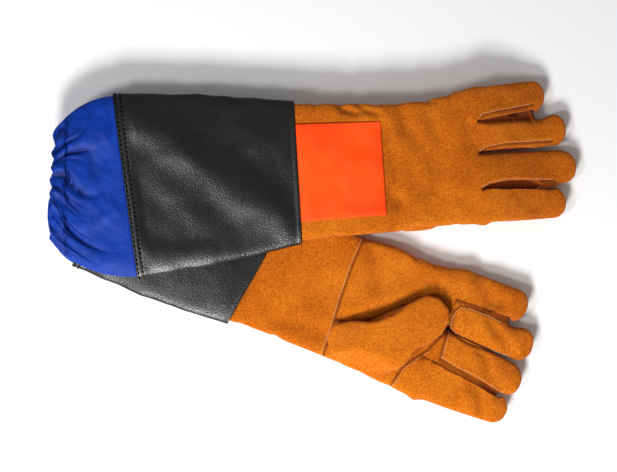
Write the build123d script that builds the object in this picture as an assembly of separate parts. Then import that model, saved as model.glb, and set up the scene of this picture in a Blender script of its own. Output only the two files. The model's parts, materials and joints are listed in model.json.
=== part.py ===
"""A pair of long welding gauntlets, laid one over the other: the right glove lies palm up on the
table and the left glove lies back up across its sleeve. Each glove is a split-leather hand and
gauntlet, a coated-cloth sleeve and an elasticated nylon cuff.

A glove is modelled palm up in its own frame: X runs to the fingertips from the wrist seam, Y to the
little finger, and Z is up from the table. The left glove is the mirror image in Z of the right one.
Sizes are in millimetres and angles in degrees."""

import os
from math import asin, atan2, cos, degrees, hypot, radians, sin, tan

from build123d import *

# Materials
LEATHER = 1.4  # split leather of the hand and gauntlet
LINING = 1.2  # fleece inside the leather
COATED = 1.0  # coated cloth of the sleeve
NYLON = 0.7  # cloth of the elasticated cuff
ELASTIC = 1.2  # elastic band in its casing
PATCH = 0.8  # signal patch
WELT = 1.6  # piping let into the wrist seam

# Clearances
SEAM = 0.05  # between layers sewn to each other
RUNNING = 0.3  # between pieces on different bodies

# Hand and gauntlet
HAND_THICK = 20.0  # lay-flat thickness of the stuffed leather hand
HAND_ROUND = 8.0  # rounding of its long edges
CUFF_HALF = 81.0  # half width where the gauntlet enters the sleeve
WAIST_LITTLE = 70.0  # half width at the wrist, little-finger side
WAIST_INDEX = 75.5  # half width at the wrist, index side
KNUCKLE_HALF = 79.0  # half width at the finger roots
KNUCKLE_X = 126.0  # where the fingers part from each other
TUCK = 15.0  # length of gauntlet held inside the sleeve

# Joints
WRIST_X = 12.0
WRIST_SWING = 40.0
WRIST_RELIEF = 0.5  # extra angle cut each side of the wrist crease
FINGER_HINGE_X = 132.0
FINGER_FLEX = 75.0
THUMB_OPEN = 85.0
LIFT = 250.0

# Fingers: name, then the low and high sides of the root, across the palm
ROOTS = {
    "little": (41.0, KNUCKLE_HALF),
    "ring": (6.0, 41.0),
    "middle": (-34.0, 6.0),
    "index": (-77.0, -34.0),
}
ROOT_X = 112.0  # where the straight sides of the fingers start
ROOT_CORNER = 8.5
FINGER_GAP = 0.4  # each side of the line between two fingers
PANEL_DEPTH = 7.0  # how far a finger's back and front wrap round its side

# Thumb: laid over the palm, hulled round three circles (x, y, radius)
THUMB_TIP = (97.0, 0.0, 24.0)
THUMB_HEEL = (33.0, -52.0, 15.0)
THUMB_SIDE = (68.0, -56.0, 12.0)
THUMB_THICK = 18.0
THUMB_ROUND = 7.5
THUMB_HINGE = (52.0, -43.0)
THUMB_YAW = 50.0  # direction the thumb points, from X towards Y

# Sleeve
SLEEVE_LENGTH = 199.0
SLEEVE_WRIST_HALF = 85.0
SLEEVE_HEM_HALF = 107.0
SLEEVE_ROUND = 9.0
SLEEVE_CORNER = 11.0
HEM_SLANT = 3.2
HEM_OVERLAP = 12.0
FACING_LENGTH = 14.0

# Elasticated cuff
CUFF_LENGTH = 88.0
MOUTH_HALF = 49.0
CASING_LENGTH = 17.0

# Signal patch on the back of the gauntlet
PATCH_LENGTH = 96.0
PATCH_HALF = 54.0

# How each glove lies. The right one carries the left one, which is turned over.
RIGHT = {
    "tips": {
        "little": (180.0, 58.0, 19.0),
        "ring": (200.0, 16.0, 18.0),
        "middle": (203.0, -25.5, 19.0),
        "index": (202.0, -65.0, 17.5),
    },
    "gauntlet_show": 102.0,
    "sleeve_bend": -7.2,
    "cuff_laid": 45.0,
}
LEFT = {
    "tips": {
        "little": (179.0, 67.0, 18.0),
        "ring": (201.0, 26.5, 17.5),
        "middle": (207.0, -17.0, 20.5),
        "index": (194.0, -58.5, 17.5),
    },
    "gauntlet_show": 91.0,
    "sleeve_bend": 0.0,
    "cuff_laid": CUFF_LENGTH,
}
RIGHT_WRIST = (-48.6, -143.8)  # right wrist seen from the left wrist
RIGHT_YAW = -25.5
STACK_GAP = 0.4

# Worked out
SLEEVE_THICK = HAND_THICK + 2 * (COATED + 0.2)
HAND_LOW = (SLEEVE_THICK - HAND_THICK) / 2
PALM_Z = HAND_LOW + HAND_THICK
MID_Z = SLEEVE_THICK / 2
FAR = 900.0


# ---- small tools ----------------------------------------------------------------------------------


def hull(circles, inset=0.0):
    """The tight outline round circles (x, y, radius), drawn in by inset."""
    edges = []
    for x, y, radius in circles:
        edges += (Pos(x, y) * Circle(radius - inset)).edges()
    return make_hull(edges)


def pillow(outline, low, high, rounding, inset=0.0):
    """A block over an outline, with its top and bottom edges rounded, drawn in by inset."""
    middle = (low + high) / 2
    half = extrude(Pos(0, 0, low + inset) * outline(inset), middle - low - inset)
    half = fillet(half.faces().sort_by(Axis.Z)[0].edges(), rounding - inset)
    return half + mirror(half, about=Plane.XY.offset(middle))


def layer(outline, low, high, rounding, inset, wall):
    """The closed skin of a pillow that starts inset below its surface and is one wall thick."""
    return pillow(outline, low, high, rounding, inset) - pillow(outline, low, high, rounding, inset + wall)


def beyond(point, yaw=0.0, gap=0.0):
    """Everything past a vertical plane through a point, which faces along yaw."""
    return Pos(point[0], point[1]) * Rot(0, 0, yaw) * Pos(FAR / 2 + gap, 0) * Box(FAR, 2 * FAR, FAR)


def above(z):
    return Pos(0, 0, z + FAR / 2) * Box(3 * FAR, 3 * FAR, FAR)


def slab(low, high):
    """Everything between two heights along X."""
    return Pos((low + high) / 2, 0) * Box(high - low, 2 * FAR, FAR)


# ---- outlines -------------------------------------------------------------------------------------


def hand_outline(inset):
    """Gauntlet and hand: two long arcs that draw in at the wrist."""
    back, front = -140.0, KNUCKLE_X + 20.0
    upper = ThreePointArc((back, CUFF_HALF + 4), (15, WAIST_LITTLE), (front, KNUCKLE_HALF + 3))
    lower = ThreePointArc((back, -CUFF_HALF - 2), (15, -WAIST_INDEX), (front, -KNUCKLE_HALF))
    ends = Line(upper @ 1, lower @ 1) + Line(lower @ 0, upper @ 0)
    outline = make_face(upper + ends + lower)
    return offset(outline, -inset) if inset else outline


def finger_outline(name, tips):
    low, high = ROOTS[name]
    corner = ROOT_CORNER
    circles = [
        (ROOT_X, low + FINGER_GAP + corner, corner),
        (ROOT_X, high - FINGER_GAP - corner, corner),
        tips[name],
    ]
    return lambda inset: hull(circles, inset)


def thumb_outline(inset):
    return hull([THUMB_TIP, THUMB_HEEL, THUMB_SIDE], inset)


def sleeve_outline(inset):
    """Straight tapered sleeve, in a frame at the middle of its wrist edge."""
    slope = (SLEEVE_HEM_HALF - SLEEVE_WRIST_HALF) / SLEEVE_LENGTH
    spare = 30.0
    corner = SLEEVE_CORNER
    circles = []
    for x in (spare, -SLEEVE_LENGTH - spare):
        half = SLEEVE_WRIST_HALF - slope * x - corner
        circles += [(x, half, corner), (x, -half, corner)]
    return hull(circles, inset)


def cuff_outline(laid):
    """Elasticated cuff: a straight root that fits inside the hem, then half an ellipse."""
    slope = (SLEEVE_HEM_HALF - SLEEVE_WRIST_HALF) / SLEEVE_LENGTH
    slant = SLEEVE_HEM_HALF * tan(radians(HEM_SLANT))
    half = SLEEVE_HEM_HALF - slope * (HEM_OVERLAP + slant) - COATED - 2 * SEAM
    nose = laid / (1 - (MOUTH_HALF / half) ** 2) ** 0.5
    root = FACING_LENGTH + slant + 4

    def outline(inset):
        end, wide = -SLEEVE_LENGTH, half - inset
        bow = EllipticalCenterArc((end, 0), nose - inset, wide, 90, arc_size=180)
        sides = Polyline(bow @ 1, (end + root, -wide), (end + root, wide), bow @ 0)
        return make_face(bow + sides)

    return outline


# ---- sub-parts of one glove -----------------------------------------------------------------------


def sleeve_parts(pose):
    """Coated sleeve, its facing, and the elasticated cuff, at the middle of the sleeve's wrist edge."""
    bend = pose["sleeve_bend"]
    before_hand = beyond((0, 0), 180 - bend)
    hem = beyond((-SLEEVE_LENGTH, 0), HEM_SLANT)
    skin = layer(sleeve_outline, 0, SLEEVE_THICK, SLEEVE_ROUND, 0, COATED) & hem & before_hand

    tucked = beyond((-SLEEVE_LENGTH + HEM_OVERLAP, 0), 180 + HEM_SLANT)
    outline = cuff_outline(pose["cuff_laid"])
    mouth = -SLEEVE_LENGTH - pose["cuff_laid"]
    low, high = COATED + SEAM, SLEEVE_THICK - COATED - SEAM
    cuff_round = SLEEVE_ROUND - COATED
    cloth = layer(outline, low, high, cuff_round, 0, NYLON)
    cloth = cloth & tucked & beyond((mouth, 0))
    casing_in = NYLON + ELASTIC + 2 * SEAM
    casing = layer(outline, low, high, cuff_round, casing_in, NYLON)
    casing = casing & slab(mouth, mouth + CASING_LENGTH)
    fold = layer(outline, low, high, cuff_round, 0, casing_in + NYLON) & slab(mouth, mouth + NYLON)
    band = layer(outline, low, high, cuff_round, NYLON + SEAM, ELASTIC)
    band = band & slab(mouth + NYLON + SEAM, mouth + CASING_LENGTH - 2)

    facing = layer(outline, low, high, cuff_round, NYLON + SEAM, COATED)
    facing = facing & hem & beyond((-SLEEVE_LENGTH + FACING_LENGTH, 0), 180 + HEM_SLANT)
    return {
        "sleeve_back": skin - above(MID_Z),
        "sleeve_palm": skin & above(MID_Z),
        "hem_facing": facing,
        "elastic_cuff": cloth + casing + fold,
        "elastic_band": band,
    }


def wrist_crease():
    """The wedge cut at the wrist, so that the hand can swing both ways about the middle of its thickness."""
    angle = WRIST_SWING / 2 + WRIST_RELIEF
    reach = HAND_THICK
    spread = reach * tan(radians(angle))
    slit = RUNNING / 2
    corners = [
        (WRIST_X - spread - slit, MID_Z - reach),
        (WRIST_X + spread + slit, MID_Z - reach),
        (WRIST_X + slit, MID_Z),
        (WRIST_X + spread + slit, MID_Z + reach),
        (WRIST_X - spread - slit, MID_Z + reach),
        (WRIST_X - slit, MID_Z),
    ]
    return extrude(Plane.XZ * make_face(Polyline(corners, close=True)), 200, both=True)


def finger_yaw(name, tips):
    """Direction of a finger, from the middle of its root to its tip."""
    low, high = ROOTS[name]
    return degrees(atan2(tips[name][1] - (low + high) / 2, tips[name][0] - ROOT_X))


def finger_hinge(name, tips):
    """Where the finger bends: on the palm side of its centre line."""
    low, high = ROOTS[name]
    middle = (low + high) / 2 + tan(radians(finger_yaw(name, tips))) * (FINGER_HINGE_X - ROOT_X)
    return (FINGER_HINGE_X, middle)


def finger_droop(name, pose, drop):
    """The angle that brings the rounded tip of a finger down by drop."""
    x, y, radius = pose["tips"][name]
    hinge = finger_hinge(name, pose["tips"])
    reach = hypot(x - hinge[0], y - hinge[1]) + radius - HAND_ROUND
    return degrees(atan2(HAND_ROUND, reach) + asin((drop - HAND_ROUND) / hypot(reach, HAND_ROUND)))


def finger_skin(name, pose):
    return layer(finger_outline(name, pose["tips"]), HAND_LOW, PALM_Z, HAND_ROUND, 0, LEATHER)


def finger_parts(name, pose, drop):
    """Back, side strip and front of one finger, past its hinge."""
    hinge = finger_hinge(name, pose["tips"])
    yaw = finger_yaw(name, pose["tips"])
    skin = finger_skin(name, pose)
    low, high = HAND_LOW + PANEL_DEPTH, PALM_Z - PANEL_DEPTH
    layers = {
        "back": skin - above(low),
        "side_strip": (skin & above(low)) - above(high),
        "front": skin & above(high),
    }
    turn = Pos(*hinge, PALM_Z) * Rot(0, 0, yaw) * Rot(0, -finger_droop(name, pose, drop), 0)
    turn = turn * (Pos(*hinge, PALM_Z) * Rot(0, 0, yaw)).inverse()
    past = beyond(hinge, yaw, RUNNING)
    return {f"{name}_{part}": (turn * shape) & past for part, shape in layers.items()}


def finger_stubs(pose):
    """The roots of the fingers, between the knuckles and the finger hinges."""
    stubs = []
    for name in ROOTS:
        hinge = finger_hinge(name, pose["tips"])
        yaw = finger_yaw(name, pose["tips"])
        stubs.append((finger_skin(name, pose) & beyond((KNUCKLE_X, 0))) - beyond(hinge, yaw))
    return stubs


def hand_parts(pose):
    """Leather and lining of the gauntlet and the hand, with the wrist crease cut out."""
    tucked_end = -pose["gauntlet_show"] - TUCK
    whole = slab(tucked_end, KNUCKLE_X)
    crease = wrist_crease()
    passage = extrude(Pos(0, 0, MID_Z) * thumb_outline(LEATHER + 2.0), HAND_THICK)
    passage = passage - beyond(THUMB_HINGE, THUMB_YAW, -LEATHER)
    leather = (layer(hand_outline, HAND_LOW, PALM_Z, HAND_ROUND, 0, LEATHER) & whole) - crease
    back, palm = leather - above(MID_Z), leather & above(MID_Z)
    hand_back, hand_palm = back & beyond((WRIST_X, 0)), (palm & beyond((WRIST_X, 0))) - passage
    for stub in finger_stubs(pose):
        hand_back += stub - above(MID_Z)
        hand_palm += stub & above(MID_Z)
    fleece = layer(hand_outline, HAND_LOW, PALM_Z, HAND_ROUND, LEATHER + SEAM, LINING)
    fleece = (fleece & slab(tucked_end + 5, KNUCKLE_X - 5)) - crease - passage
    return {
        "gauntlet_back": back - beyond((WRIST_X, 0)),
        "gauntlet_palm": palm - beyond((0, 0)),
        "palm_heel": (palm & beyond((0, 0))) - beyond((WRIST_X, 0)),
        "gauntlet_lining": fleece - beyond((WRIST_X, 0)),
        "hand_back": hand_back,
        "palm": hand_palm,
        "hand_lining": fleece & beyond((WRIST_X, 0)),
    }


def thumb_parts():
    """Thumb laid over the palm, and the base that joins it to the hand."""
    low = PALM_Z + RUNNING
    high = low + THUMB_THICK
    skin = layer(thumb_outline, low, high, THUMB_ROUND, 0, LEATHER)
    thumb = skin & beyond(THUMB_HINGE, THUMB_YAW, RUNNING)
    deep = layer(thumb_outline, PALM_Z - HAND_THICK, high, THUMB_ROUND, 0, LEATHER)
    base = (deep & above(PALM_Z)) - beyond(THUMB_HINGE, THUMB_YAW)
    middle = (low + high) / 2
    return {
        "thumb_base": base,
        "thumb_inner": thumb - above(middle),
        "thumb_outer": thumb & above(middle),
    }


def trim_parts(pose):
    """Signal patch on the back of the gauntlet, and the piping in the wrist seam."""
    start = -pose["gauntlet_show"] + 2
    patch = Pos(start + PATCH_LENGTH / 2, 0, HAND_LOW - SEAM - PATCH / 2)
    patch = patch * Box(PATCH_LENGTH, 2 * PATCH_HALF, PATCH)
    welt = Pos(0, (WAIST_LITTLE - WAIST_INDEX) / 2, PALM_Z + WELT / 4)
    welt = welt * Box(WELT, WAIST_LITTLE + WAIST_INDEX - 2 * HAND_ROUND, WELT / 2)
    return {"signal_patch": patch, "wrist_welt": welt}


# ---- gloves and how they lie ----------------------------------------------------------------------

BODY_OF = {
    "thumb_inner": "thumb",
    "thumb_outer": "thumb",
    "hand_back": "hand",
    "palm": "hand",
    "hand_lining": "hand",
    "thumb_base": "hand",
}


def glove(pose, drop):
    """All sub-parts of one glove, palm up in its own frame: {node: shape}."""
    to_sleeve = Pos(-pose["gauntlet_show"], 0) * Rot(0, 0, pose["sleeve_bend"])
    parts = {node: to_sleeve * shape for node, shape in sleeve_parts(pose).items()}
    parts |= hand_parts(pose)
    for name in ROOTS:
        parts |= finger_parts(name, pose, drop)
    parts |= thumb_parts()
    parts |= trim_parts(pose)
    return parts


LEFT_RISE = SLEEVE_THICK + STACK_GAP  # underside of the left sleeve
LEFT_PALM_Z = LEFT_RISE + SLEEVE_THICK - PALM_Z
TIP_CLEAR = 0.5


def build():
    """Both gloves in the shared frame: {node: shape}, and the shift that centres them on the origin."""
    left = glove(LEFT, LEFT_PALM_Z - TIP_CLEAR)
    right = glove(RIGHT, 0.0)
    over = Pos(0, 0, LEFT_RISE)
    under = Pos(*RIGHT_WRIST, 0) * Rot(0, 0, RIGHT_YAW)
    turned = Plane.XY.offset(SLEEVE_THICK / 2)
    placed = {f"left_{n}": over * mirror(s, about=turned) for n, s in left.items()}
    placed |= {f"right_{n}": under * s for n, s in right.items()}
    boxes = [shape.bounding_box() for shape in placed.values()]
    middle_x = (min(b.min.X for b in boxes) + max(b.max.X for b in boxes)) / 2
    middle_y = (min(b.min.Y for b in boxes) + max(b.max.Y for b in boxes)) / 2
    base = min(b.min.Z for b in boxes)
    centre = Pos(-middle_x, -middle_y, -base)
    return {node: centre * shape for node, shape in placed.items()}, (-middle_x, -middle_y, -base)


def main():
    os.makedirs("parts", exist_ok=True)
    placed, shift = build()
    print("shift to the origin", [round(value, 4) for value in shift])
    for node, shape in placed.items():
        export_step(Compound(children=shape.solids()), f"parts/{node}.step")


if __name__ == "__main__":
    main()
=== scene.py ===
# %% [markdown]
# # A pair of long welding gloves
# The left glove lies back up across the sleeve of the right one, which lies palm up on the table. Each glove is split
# leather from the fingertips to the middle of the forearm, then a coated cloth sleeve, then a gathered nylon cuff.
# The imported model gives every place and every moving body. This notebook makes the soft surfaces that lie over it.

# %% Load the frame
import json
import math

import bpy
import numpy as np
from mathutils import Matrix, Vector, noise
from mathutils.bvhtree import BVHTree

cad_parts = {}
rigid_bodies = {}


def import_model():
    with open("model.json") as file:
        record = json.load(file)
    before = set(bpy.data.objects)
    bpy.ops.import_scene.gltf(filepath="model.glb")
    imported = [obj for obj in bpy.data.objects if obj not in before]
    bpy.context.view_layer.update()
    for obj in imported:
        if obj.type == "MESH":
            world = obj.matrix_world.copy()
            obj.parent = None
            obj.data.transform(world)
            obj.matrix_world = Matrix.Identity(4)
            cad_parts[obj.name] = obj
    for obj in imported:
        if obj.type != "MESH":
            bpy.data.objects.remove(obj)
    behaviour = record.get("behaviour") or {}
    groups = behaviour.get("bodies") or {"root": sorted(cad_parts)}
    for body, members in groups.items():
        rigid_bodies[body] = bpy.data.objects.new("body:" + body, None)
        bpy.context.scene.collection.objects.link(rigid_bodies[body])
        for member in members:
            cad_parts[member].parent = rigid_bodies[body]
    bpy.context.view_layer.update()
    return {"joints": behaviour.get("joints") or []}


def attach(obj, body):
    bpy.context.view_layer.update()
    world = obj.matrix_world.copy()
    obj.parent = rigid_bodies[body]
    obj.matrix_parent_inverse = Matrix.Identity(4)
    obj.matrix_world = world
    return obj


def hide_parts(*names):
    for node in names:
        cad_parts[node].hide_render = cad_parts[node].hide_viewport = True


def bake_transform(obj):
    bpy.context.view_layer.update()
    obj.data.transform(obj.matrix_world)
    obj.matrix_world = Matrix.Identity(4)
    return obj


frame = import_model()
scene = bpy.context.scene

# %% [markdown]
# ## Where the gloves are
# Work is easier in a glove's own frame: x from the wrist seam to the fingertips, y to the little finger, z from the
# middle of the thickness to the palm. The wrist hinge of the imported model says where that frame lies. The left glove
# is the mirror image in z of the right one, so its frame is a mirror too, and its faces are flipped afterwards.

# %% The two lays
MM = 0.001
UP = Vector((0, 0, 1))
joints = {joint["name"]: joint for joint in frame["joints"]}
WRIST_FOLD = 12.0  # the wrist bends this far past its seam
SHOWN = {"left": 91.0, "right": 102.0}  # gauntlet that shows past the sleeve


def hinge_of(name):
    """A hinge's place, and the direction towards the fingertips across it."""
    axis = Vector(joints[name]["axis"])
    forward = UP.cross(axis) if name.startswith("right") else axis.cross(UP)
    return Vector(joints[name]["pos_m"]), forward


def lay_of(side):
    """The matrix from a glove's own frame, in metres, to the row frame."""
    place, forward = hinge_of(side + "_wrist")
    origin = place - forward * WRIST_FOLD * MM
    columns = [forward, UP.cross(forward), UP if side == "right" else -UP]
    return Matrix([[c[i] for c in columns] + [origin[i]] for i in range(3)] + [[0, 0, 0, 1]])


LAY = {side: lay_of(side) for side in ("left", "right")}


def at(side, x, y, z=0.0):
    """A point given in millimetres in a glove's own frame, in the row frame."""
    return LAY[side] @ Vector((x * MM, y * MM, z * MM))


print("left wrist seam at", [round(v, 4) for v in at("left", 0, 0)])

# %% [markdown]
# ## Camera
# The gloves are seen from straight above, through a long lens, with the left glove turned a little anticlockwise in
# the picture. The camera stands over the middle of the picture and is rolled, not the gloves.

# %% Set up the camera
ROLL = math.radians(4.5)
VIEW_WIDTH = 0.7096  # metres across the picture, at the height of the gloves
LENS = 100.0
SENSOR = 36.0
GLOVE_HEIGHT = 0.032  # where VIEW_WIDTH holds
middle = at("left", -84.7, -73.7)
camera_data = bpy.data.cameras.new("camera")
camera_data.lens = LENS
camera_data.sensor_width = SENSOR
camera = bpy.data.objects.new("camera", camera_data)
scene.collection.objects.link(camera)
distance = VIEW_WIDTH * LENS / SENSOR
place = Matrix.Translation((middle.x, middle.y, GLOVE_HEIGHT + distance))
camera.matrix_world = place @ Matrix.Rotation(-ROLL, 4, "Z")
scene.camera = camera
print("camera height", round(camera.matrix_world.translation.z, 3))

# %% [markdown]
# ## Light and floor
# A pale floor and two large soft boxes. The stronger one stands towards the lower left of the picture, so that folds
# show a soft shadow on their far side, and the other one fills from the opposite side.

# %% Lay the floor and hang the lights
bpy.ops.mesh.primitive_plane_add(size=8.0, location=(0, 0, -0.0008))
floor = bpy.context.object
floor.name = "floor"
floor_paint = bpy.data.materials.new("floor_paint")
floor_paint.use_nodes = True
paint = floor_paint.node_tree.nodes["Principled BSDF"].inputs
paint["Base Color"].default_value = (0.93, 0.93, 0.93, 1)
paint["Roughness"].default_value = 0.9
floor.data.materials.append(floor_paint)


def soft_box(name, place, size, power):
    """A square area light that faces the gloves."""
    data = bpy.data.lights.new(name, "AREA")
    data.shape = "SQUARE"
    data.size = size
    data.energy = power
    lamp = bpy.data.objects.new(name, data)
    lamp.location = place
    lamp.rotation_euler = (Vector((0, 0, 0)) - Vector(place)).to_track_quat("-Z", "Y").to_euler()
    scene.collection.objects.link(lamp)


def from_middle(right, up, height):
    """A place given in metres to the right of and above the picture's middle, and above the floor."""
    aside = Matrix.Rotation(-ROLL, 3, "Z") @ Vector((right, up, 0))
    return (middle.x + aside.x, middle.y + aside.y, height)


soft_box("key", from_middle(-0.35, -1.25, 1.15), 0.45, 34)
soft_box("top", from_middle(-0.95, -0.5, 1.5), 0.35, 11)
world = bpy.data.worlds.new("studio")
world.use_nodes = True
sky = world.node_tree.nodes["Background"].inputs
sky["Color"].default_value = (1, 1, 1, 1)
sky["Strength"].default_value = 0.27
scene.world = world
scene.view_settings.view_transform = "Standard"
print("lights hung")

# %% [markdown]
# ## Colours and nodes
# Colours are written as they look on a screen and turned to linear light by one function. One helper adds a node with
# its settings and its links.

# %% Helpers for materials
def linear(hex_colour):
    """An sRGB hex colour as linear RGBA."""
    channels = [int(hex_colour[i : i + 2], 16) / 255 for i in (1, 3, 5)]
    return tuple(c / 12.92 if c <= 0.04045 else ((c + 0.055) / 1.055) ** 2.4 for c in channels) + (1.0,)


def add(tree, kind, settings=None, links=None):
    """Adds a node, sets its sockets or properties, and links sources to its sockets."""
    node = tree.nodes.new("ShaderNode" + kind)
    for name, value in (settings or {}).items():
        if isinstance(name, int) or name in node.inputs:
            node.inputs[name].default_value = value
        else:
            setattr(node, name, value)
    for name, source in (links or {}).items():
        tree.links.new(source, node.inputs[name])
    return node


def new_finish(name, settings):
    """An empty material with its shader's constant values, its tree, shader and object coordinates."""
    material = bpy.data.materials.new(name)
    material.use_nodes = True
    tree = material.node_tree
    shader = tree.nodes["Principled BSDF"]
    for socket, value in settings.items():
        shader.inputs[socket].default_value = value
    place = add(tree, "TexCoord").outputs["Object"]
    return material, tree, shader, place


def ramp(tree, factor, stops):
    """A colour ramp from (position, linear colour) stops."""
    node = add(tree, "ValToRGB", links={"Fac": factor})
    elements = node.color_ramp.elements
    while len(elements) < len(stops):
        elements.new(0.5)
    for element, (position, colour) in zip(elements, stops):
        element.position = position
        element.color = colour
    return node.outputs["Color"]


def darken_seams_and_shade(tree, shader, colour, deep):
    """Links the colour to the shader, turned towards a deep one along seams and where painted shade is stored in the
    mesh.
    """
    # The stored amount is mostly painted shade in folds, crevices and hollows; along seams it also draws darker seam
    # lines.
    seam_and_shade = add(tree, "Attribute", {"attribute_name": "seam_and_shade"}).outputs["Fac"]
    shaded_colour = add(tree, "Mix", {"data_type": "RGBA"}, {"Factor": seam_and_shade, 6: colour})
    shaded_colour.inputs[7].default_value = linear(deep)
    tree.links.new(shaded_colour.outputs[2], shader.inputs["Base Color"])


# %% [markdown]
# ## Split leather
# Split leather is the suede side of cowhide: matt, with a nap of fine fibres that lies in different directions. The
# eye sees cloudy patches a few centimetres wide, a mottle of a few millimetres, and fibres. Real fibres are far finer
# than a millimetre; they are drawn at about one, so that they show. Seams are drawn darker, and the folds, the
# crevices between the fingers and the hollow by the thumb get painted shade. The mesh carries how dark each point is.

# %% Suede
def suede():
    """Split leather: mottled nap, darker seams, painted shade in folds and hollows, and a soft sheen."""
    matt = {"Roughness": 0.95, "Sheen Weight": 0.08, "Sheen Roughness": 0.5, "Specular IOR Level": 0.08}
    material, tree, shader, place = new_finish("split_leather_tan", matt)
    cloud = add(tree, "TexNoise", {"Scale": 16.0, "Detail": 4.0, "Roughness": 0.5}, {"Vector": place})
    mottle = add(tree, "TexNoise", {"Scale": 360.0, "Detail": 5.0, "Roughness": 0.75}, {"Vector": place})
    fibre = add(tree, "TexNoise", {"Scale": 900.0, "Detail": 3.0, "Roughness": 0.7}, {"Vector": place})
    small = add(tree, "Math", {"operation": "ADD"}, {0: mottle.outputs["Fac"], 1: fibre.outputs["Fac"]})
    total = add(tree, "Math", {"operation": "MULTIPLY_ADD", 1: 0.4}, {0: cloud.outputs["Fac"], 2: small.outputs[0]})
    mean = add(tree, "Math", {"operation": "MULTIPLY", 1: 1 / 2.4}, {0: total.outputs[0]})
    tans = [(0.41, linear("#a24a06")), (0.5, linear("#c5640c")), (0.59, linear("#d8801c"))]
    nap = ramp(tree, mean.outputs[0], tans)
    # The nap turns dark brown along seams and as painted shade in folds, crevices and hollows.
    darken_seams_and_shade(tree, shader, nap, "#5a1c00")
    coarse = add(tree, "Bump", {"Strength": 0.6, "Distance": 0.0014}, {"Height": mottle.outputs["Fac"]})
    fine_links = {"Height": fibre.outputs["Fac"], "Normal": coarse.outputs[0]}
    fine = add(tree, "Bump", {"Strength": 0.9, "Distance": 0.0007}, fine_links)
    tree.links.new(fine.outputs[0], shader.inputs["Normal"])
    return material


tan_suede = suede()
print("suede ready")

# %% [markdown]
# ## The leather blank
# A glove is cut flat and stuffed by its lining and seams. So the hand starts as a flat blank: one slab for the
# gauntlet and palm, and a round-ended slab for each finger. The blank is the same for both hands. Fingers lie a few
# millimetres apart, because a voxel remesh would weld anything closer.

# %% Cut the blank
VOXEL = 3.0
BLANK = 9.0  # thickness of the flat blank
ROOT_X = 108.0
LANES = {"little": (41.0, 79.0), "ring": (6.0, 41.0), "middle": (-34.0, 6.0), "index": (-77.0, -34.0)}
BLANK_TIP = dict(zip(LANES, (183.5, 203.5, 207.5, 200.5)))  # middle of each round tip
LANE_GAP = 2.6  # each side of the line between two fingers
LITTLE_SIDE = [(-117, 82), (-89, 80), (-37, 74.5), (26, 70), (61, 71.5), (96, 76), (121, 77)]
INDEX_SIDE = [(-117, -82), (-49, -77), (15, -76), (50, -74.5), (90, -75), (121, -75)]


def slab(name, outline, thick):
    """A flat slab round z = 0 over an outline of (x, y) points in millimetres."""
    bpy.ops.mesh.primitive_circle_add(vertices=len(outline), fill_type="NGON")
    obj = bpy.context.object
    obj.name = name
    for vertex, (x, y) in zip(obj.data.vertices, outline):
        vertex.co = (x * MM, y * MM, -thick / 2 * MM)
    bpy.ops.object.mode_set(mode="EDIT")
    bpy.ops.mesh.select_all(action="SELECT")
    bpy.ops.mesh.extrude_region_move(TRANSFORM_OT_translate={"value": (0, 0, thick * MM)})
    bpy.ops.mesh.select_all(action="SELECT")
    bpy.ops.mesh.normals_make_consistent(inside=False)
    bpy.ops.object.mode_set(mode="OBJECT")
    return obj


def stadium(x0, y0, r0, x1, y1, r1, steps=14):
    """An outline round two circles, with its ends as half circles."""
    turns = [math.pi * (i / steps - 0.5) for i in range(steps + 1)]
    far = [(x1 + r1 * math.cos(t), y1 + r1 * math.sin(t)) for t in turns]
    near = [(x0 - r0 * math.cos(t), y0 - r0 * math.sin(t)) for t in turns]
    return far + near


def cut_hand():
    """The slabs of one flat hand, still separate."""
    slabs = [slab("palm_blank", INDEX_SIDE + LITTLE_SIDE[::-1], BLANK)]
    for name, (low, high) in LANES.items():
        radius = (high - low) / 2 - LANE_GAP
        centre = (low + high) / 2
        outline = stadium(ROOT_X, centre, radius, BLANK_TIP[name], centre, radius)
        slabs.append(slab(name + "_blank", outline, BLANK))
    return slabs


THUMB_OUTLINE = [
    (4, -38), (22, -25), (42, -14), (60, 0), (76, 14), (90, 25), (104, 27), (117, 20), (123, 7), (121, -8),
    (114, -22), (104, -36), (97, -50), (90, -62), (78, -71), (55, -75), (30, -74), (12, -66), (3, -52),
]
THUMB_ASIDE = 400.0  # the thumb's blank lies this far to one side while both are stuffed
print("blank helpers ready")

# %% [markdown]
# ## Stuffing it by simulation
# The blanks are joined, remeshed into one skin and blown up by a cloth simulation with pressure and no gravity. That
# gives seams that pull in and sides that swell, which is hard to draw by hand. A cap on how far a point may move keeps
# the skin near its pattern. A welding glove that lies on a table is flat in the middle and round at its edges, so the
# height is squeezed afterwards: low parts keep their height, and high parts level off.

# %% Stuff the blank
CLEARANCE = 0.15  # millimetres that the lowest point keeps above the table


def only(obj):
    """Makes this the one selected and active object."""
    bpy.ops.object.select_all(action="DESELECT")
    bpy.context.view_layer.objects.active = obj
    obj.select_set(True)


def read(items, field_name, width):
    """One field of every item of a collection, as rows of the given width, or flat if it is 1."""
    values = np.empty(len(items) * width)
    items.foreach_get(field_name, values)
    return values.reshape(-1, width) if width > 1 else values


def apply_modifier(obj, kind, **settings):
    """Adds a modifier, sets it and applies it."""
    only(obj)
    modifier = obj.modifiers.new(kind.lower(), kind)
    for name, value in settings.items():
        setattr(modifier, name, value)
    bpy.ops.object.modifier_apply(modifier=modifier.name)


def points(obj):
    """The mesh's points in millimetres, one row each."""
    return read(obj.data.vertices, "co", 3) / MM


def set_points(obj, co):
    """Moves the mesh's points to rows of millimetres."""
    obj.data.vertices.foreach_set("co", (np.asarray(co) * MM).ravel())
    obj.data.update()


def rest_on_table(obj):
    """Presses whatever would dip under the table up against it."""
    for vertex in obj.data.vertices:
        vertex.co.z = max(vertex.co.z, CLEARANCE * MM)


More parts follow.
